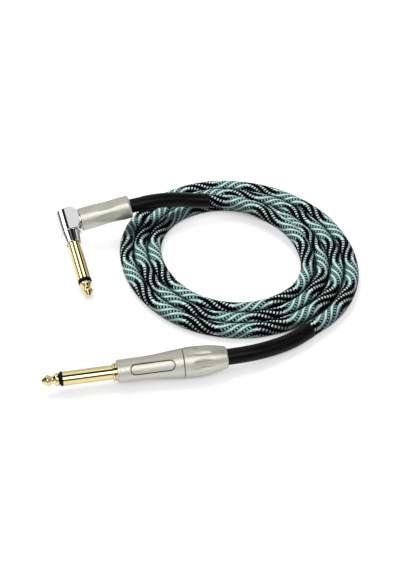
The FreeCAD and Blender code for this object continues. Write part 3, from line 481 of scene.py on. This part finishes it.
def woven_finish():
    """Mint and black yarns in leaning bands, with rows of ticks where one crosses the other's band. The mint has
    painted shade at its bands' edges and in creases, and a painted highlight along their middles.
    """
    finish = Finish("woven_cord", MINT, 0.5, ior=1.07)
    run, turn = finish.map_values("CordMap")
    angle = turn * (2 * math.pi)
    swing = run * (2 * math.pi / WAVE_LENGTH)
    zone = ((swing + math.pi / 2).sine() * ZONE_SHARPNESS).limited(-1, 1)
    band = ((angle + swing.sine() * WAVE_LEAN + run * WAVE_DRIFT) * BANDS).sine()
    mint_ticks = (run * (2 * math.pi / MINT_TICK_PITCH) - angle * MINT_TICKS_AROUND).sine()
    black_ticks = (run * (2 * math.pi / BLACK_TICK_PITCH) + angle * BLACK_TICKS_AROUND).sine()
    in_mint = zone.step(-0.25, 0.25)
    ticks = mint_ticks * in_mint + black_ticks * in_mint.rest()
    square = ((ticks - in_mint * 0.1) * TICK_SHARPNESS).limited(-1, 1)
    level = band + zone * ZONE_SHARE + square * (zone.size() * TICK_SHARE_IN_ZONE + TICK_SHARE)
    mint = level.step(-0.1, 0.1)
    patches = finish.noise(120)
    # Painted shade and highlight: each band's mint is darker at its edges and pale along its middle, as light
    # falls on a raised band; noise patches vary its tone, and in the black zones the pale is the paler mint of the
    # ticks there
    rib = (band + zone * 0.2).size()
    band_light_and_tone = (rib * 0.8 + patches * 0.5 - 0.1).limited(0, 1)
    # Painted shade: the yarns' colour darkens in the creases between passes and towards the floor, and the painted
    # highlight fades there too
    painted_crease_shade = finish.open_air(CREASE_REACH).step(0.3, 0.95)
    pale_and_highlight = (rib * rib * 0.5 + in_mint.rest() * 0.4).limited(0, 1) * painted_crease_shade
    mint_colour = finish.blend(pale_and_highlight, finish.blend(band_light_and_tone * painted_crease_shade, MINT_PAINTED_SHADE, MINT), MINT_PALE_AND_HIGHLIGHT)
    finish.set("Base Color", finish.blend(mint, YARN_BLACK, mint_colour))
    finish.set("Roughness", mint * -0.08 + 0.52)
    finish.set("Metallic", mint * 0.25)
    finish.relief(ticks * 0.5 + band.size().put("POWER", 0.5) * 0.6 + mint * 0.25, 0.09 * MM)
    return finish.material


def sleeve_finish():
    """Black shrink sleeve, half gloss, drawn down on the yarns under it."""
    finish = Finish("shrink_sleeve", (0.010, 0.010, 0.011), 0.34, ior=1.2)
    run, turn = finish.map_values("CordMap")
    around = turn * (2 * math.pi * BANDS)
    lean = run * SLEEVE_YARN_LEAN
    yarns = (around + lean).sine() + (around - lean).sine()
    wear = finish.noise(400, detail=4)
    finish.set("Base Color", finish.blend(wear, SLEEVE_BLACK, SLEEVE_WORN))
    finish.set("Roughness", wear * 0.14 + 0.26)
    finish.relief(yarns * 0.25 + wear * 1.0, 0.05 * MM)
    return finish.material


def turned_finish(name, axis, colour, roughness, spread, rings):
    """A metal turned on a lathe: faint rings round its axis and a little unevenness in its gloss."""
    finish = Finish(name, colour, roughness, metallic=1.0)
    lines = finish.noise(1.0, detail=3, line=finish.along(axis) * 2500)
    clouds = finish.noise(350, detail=3)
    finish.set("Roughness", clouds * spread + roughness - spread / 2)
    deeper = tuple(part * 0.93 for part in colour)
    plated = finish.blend(lines * 0.6 + clouds * 0.4, deeper, colour)
    # Painted shade: the metal's colour goes dark in grooves, seams and recesses
    unshaded = finish.open_air(GROOVE_REACH).step(0.3, 0.85)
    finish.set("Base Color", finish.blend(unshaded, METAL_GROOVE_SHADE, plated))
    finish.relief(lines, rings)
    return finish.material


def satin_finish(name, axis):
    """Nickel over a fine matt blast, with the faint rings of the turning under it."""
    finish = Finish(name, NICKEL, 0.3, metallic=1.0)
    grain = finish.noise(5000, detail=1)
    lines = finish.noise(1.0, detail=2, line=finish.along(axis) * 1500)
    clouds = finish.noise(150, detail=3)
    plated = finish.blend(grain * 0.5 + clouds * 0.5, NICKEL_DEEP, NICKEL)
    # Painted shade: the nickel's colour goes dark in grooves, seams and recesses, such as the panel's outline
    unshaded = finish.open_air(GROOVE_REACH).step(0.45, 0.95)
    finish.set("Base Color", finish.blend(unshaded, METAL_GROOVE_SHADE, plated))
    finish.set("Roughness", grain * 0.08 + clouds * 0.05 + 0.39)
    finish.relief(grain * 0.7 + lines * 0.3, 0.006 * MM)
    return finish.material


def moulded_finish(name, colour, roughness, ior=1.45):
    """Moulded plastic with a faint unevenness."""
    finish = Finish(name, colour, roughness, ior=ior)
    cloud = finish.noise(900, detail=3)
    finish.set("Base Color", finish.blend(cloud, tuple(part * 0.8 for part in colour), colour))
    finish.set("Roughness", cloud * 0.12 + roughness - 0.06)
    finish.relief(cloud, 0.01 * MM)
    return finish.material


def strand_finish(name, axis):
    """Fine copper wires twisted together."""
    finish = Finish(name, (0.80, 0.42, 0.27), 0.28, metallic=1.0)
    twist = (finish.along(axis) * 6000 + finish.along((0, 0, 1)) * 9000).sine()
    # Painted shade: the copper is darker in the grooves between the wires, where the bumps are low
    finish.set("Base Color", finish.blend(twist * 0.5 + 0.5, COPPER_GAP_SHADE, COPPER))
    finish.relief(twist, 0.05 * MM)
    return finish.material


# The finish of each material slot, from its name and the axis that its pieces are turned on
FINISHES = {
    "gold": lambda name, axis: turned_finish(name, axis, GOLD, 0.05, 0.03, 0.0012 * MM),
    "satin_nickel": satin_finish,
    "polished_chrome": lambda name, axis: turned_finish(name, axis, CHROME, 0.04, 0.02, 0.0006 * MM),
    "tinned_brass": lambda name, axis: turned_finish(name, axis, TINNED, 0.3, 0.1, 0.002 * MM),
    "black_plastic": lambda name, axis: moulded_finish(name, PLASTIC_BLACK, 0.3, 1.2),
    "wire_insulation": lambda name, axis: moulded_finish(name, INSULATION, 0.4),
    "copper_shield": strand_finish,
    "woven_cord": lambda name, axis: moulded_finish(name, MINT, 0.6),
    "shrink_sleeve": lambda name, axis: moulded_finish(name, PLASTIC_BLACK, 0.35, 1.2),
}


def dress_nodes():
    """Gives each solid its slot's finish, turned about its own plug's axis."""
    made = {}
    for row in frame["record"]["subparts"]:
        node = row["node"]
        side = "angle" if node.startswith("angle") else "straight"
        slot = row["material_slot"]
        if (slot, side) not in made:
            axis = STRAIGHT_AXIS if side == "straight" else BARREL_AXIS
            if side == "angle" and slot in ("gold", "polished_chrome"):
                axis = PIN_AXIS
            made[slot, side] = FINISHES[slot](side + "_" + slot, axis)
        dress(frame["nodes"][node], made[slot, side])


def braid_radii(runs, sides):
    """The cord's skin: each band of yarns stands up a little between its edges."""
    turns = np.arange(sides)[None, :] * 2 * math.pi / sides
    lengths = runs[:, None]
    swing = lengths * 2 * math.pi / WAVE_LENGTH
    band = np.sin(BANDS * (turns + WAVE_LEAN * np.sin(swing) + WAVE_DRIFT * lengths))
    return BRAID_RADIUS + BRAID_RIDGE * (np.sqrt(np.abs(band)) - BRAID_MIDDLE)


def boot_radii(runs, neck):
    """A shrink sleeve: thinner along its neck, where the barrel slides over it."""
    share = np.clip((runs - neck) / BOOT_FLARE, 0, 1)
    return BOOT_NECK_RADIUS + (BOOT_RADIUS - BOOT_NECK_RADIUS) * share * share * (3 - 2 * share)


def make_cord():
    """The woven cord with its two sleeves, from the barrel's mouth round to the tail nut."""
    points, runs = evenly(spline_points(cord_route()), RING_STEP)
    cord = swept("woven_cord", points, runs, braid_radii(runs, CORD_SIDES), CORD_SIDES, CORD_ROWS)
    dress(cord, woven_finish())
    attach(cord, "cable")
    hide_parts("cord_coil", "cord_angle_lead", "cord_straight_lead")
    sleeve = sleeve_finish()
    ends = {
        "angle_sleeve_boot": (points, ANGLE_BOOT_LENGTH, ANGLE_BOOT_NECK, "angle_boot"),
        "straight_sleeve_boot": (points[::-1], STRAIGHT_BOOT_LENGTH, -BOOT_FLARE, "straight_boot"),
    }
    for name, (line, length, neck, node) in ends.items():
        kept = runs <= length
        boot = swept(name, line[kept], runs[kept], boot_radii(runs[kept], neck))
        dress(boot, sleeve)
        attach(boot, "cable")
        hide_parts(node)


# The floor is white in the open. Its emitted white falls off near the object, a painted shadow, to black in a
# narrow crease, painted shade.
FLOOR_SIZE = 8.0
FLOOR_LEAST = 0.55
FLOOR_SHADOW = 0.4
FLOOR_CREASE_SHADE = 0.35


def floor():
    """A white floor. What the lamps put on it is only part of its white, so that shadows stay faint; the rest is
    emitted, and a painted shadow near the object dims it.
    """
    edge = FLOOR_SIZE / 2
    corners = [(-edge, -edge, 0), (edge, -edge, 0), (edge, edge, 0), (-edge, edge, 0)]
    ground = new_piece("floor", corners, [(0, 1, 2, 3)])
    finish = Finish("floor", FLOOR_GREY, 0.95, specular_ior_level=0.0)
    seen = finish.tree.nodes.new("ShaderNodeLightPath")
    shown = Value(finish.tree, seen.outputs["Is Camera Ray"])
    for ray in ("Is Glossy Ray", "Is Transmission Ray"):
        shown = shown.most(Value(finish.tree, seen.outputs[ray]))
    finish.set("Emission Color", (1, 1, 1))
    # Painted shadow: the floor's emitted white dims near the object and goes black in narrow creases
    open_air = finish.open_air(SHADOW_REACH)
    shadow = open_air * FLOOR_SHADOW + FLOOR_LEAST
    finish.set("Emission Strength", shown * open_air.step(0.0, FLOOR_CREASE_SHADE) * shadow)
    dress(ground, finish.material)


# The studio's ceiling, drawn one metre over the object: each box or flag has its left, right, near and
# far edge and its light. Later ones cover earlier ones.
CEILING = [
    ("back", -30.0, 30.0, 0.5, 30.0, 0.72),
    ("front low box", -0.2, 3.0, -12.0, -2.0, 3.0),
    ("front flag", -1.6, 2.0, -2.0, -0.85, 0.02),
    ("front box", -0.9, 1.1, -0.85, -0.22, 3.4),
    ("left box", -1.95, -0.74, -0.3, 0.9, 3.0),
    ("left flag", -0.74, -0.27, -0.3, 0.75, 0.02),
    ("far left flag", -5.0, -1.95, -0.5, 1.8, 0.03),
    ("card", -0.28, -0.11, 0.2, 0.6, 0.95),
    ("far card", -0.28, 0.04, 0.52, 1.0, 1.0),
    ("middle flag", -0.11, 1.4, -0.22, 0.27, 0.02),
    ("back box", 0.03, 0.28, 0.31, 0.62, 3.2),
    ("bridge", -0.12, 0.03, 0.29, 0.45, 1.5),
    ("right flag", 0.28, 1.0, 0.31, 1.3, 0.03),
    ("pin card", -0.08, 0.05, 0.11, 0.27, 1.2),
    ("pin flag", 0.0, 0.18, -0.5, -0.2, 0.02),
    ("pin box", 0.1, 0.4, -1.75, -0.85, 3.2),
    ("pin low flag", 0.3, 2.5, -10.0, -1.75, 0.02),
]
CEILING_REST = 0.35
CEILING_LEAST_RISE = 0.01
EDGE = 0.025
HORIZON = 0.4
HORIZON_LOW = 0.02
HORIZON_HIGH = 0.14


def studio():
    """The light all round: boxes and flags overhead, dim at the horizon."""
    scene = bpy.context.scene
    scene.world = bpy.data.worlds.new("studio")
    scene.world.use_nodes = True
    tree = scene.world.node_tree
    parts = tree.nodes.new("ShaderNodeSeparateXYZ")
    tree.links.new(tree.nodes.new("ShaderNodeTexCoord").outputs["Generated"], parts.inputs["Vector"])
    x, y, z = (Value(tree, parts.outputs[axis]) for axis in "XYZ")
    over = z.most(CEILING_LEAST_RISE)
    right = x / over
    far = y / over
    light = z * 0.0 + CEILING_REST
    for _, left_edge, right_edge, near_edge, far_edge, strength in CEILING:
        inside = right.step(left_edge - EDGE, left_edge + EDGE) * far.step(near_edge - EDGE, near_edge + EDGE)
        inside = inside * (right * -1).step(-right_edge - EDGE, -right_edge + EDGE)
        inside = inside * (far * -1).step(-far_edge - EDGE, -far_edge + EDGE)
        light = light * inside.rest() + inside * strength
    raised = z.step(HORIZON_LOW, HORIZON_HIGH)
    light = light * raised + raised.rest() * HORIZON
    background = tree.nodes["Background"]
    background.inputs["Color"].default_value = (1, 1, 1, 1)
    tree.links.new(light.socket, background.inputs["Strength"])
    scene.world.cycles_visibility.diffuse = False
    scene.view_settings.view_transform = "Standard"


def lamp(name, turn, height, distance, size, power):
    """A soft square lamp that aims at the object, for its matt surfaces. What shines mirrors the studio."""
    data = bpy.data.lights.new(name, "AREA")
    data.size = size
    data.energy = power
    source = bpy.data.objects.new(name, data)
    turn = math.radians(turn)
    height = math.radians(height)
    way = Vector((math.sin(turn) * math.cos(height), -math.cos(turn) * math.cos(height), math.sin(height)))
    source.location = TARGET + way * distance
    source.rotation_euler = way.to_track_quat("Z", "Y").to_euler()
    source.visible_glossy = False
    bpy.context.scene.collection.objects.link(source)


camera()
make_cord()
dress_nodes()
floor()
studio()
lamp("key", turn=208, height=62, distance=1.2, size=0.5, power=20)
lamp("fill", turn=0, height=40, distance=1.5, size=1.0, power=1.2)
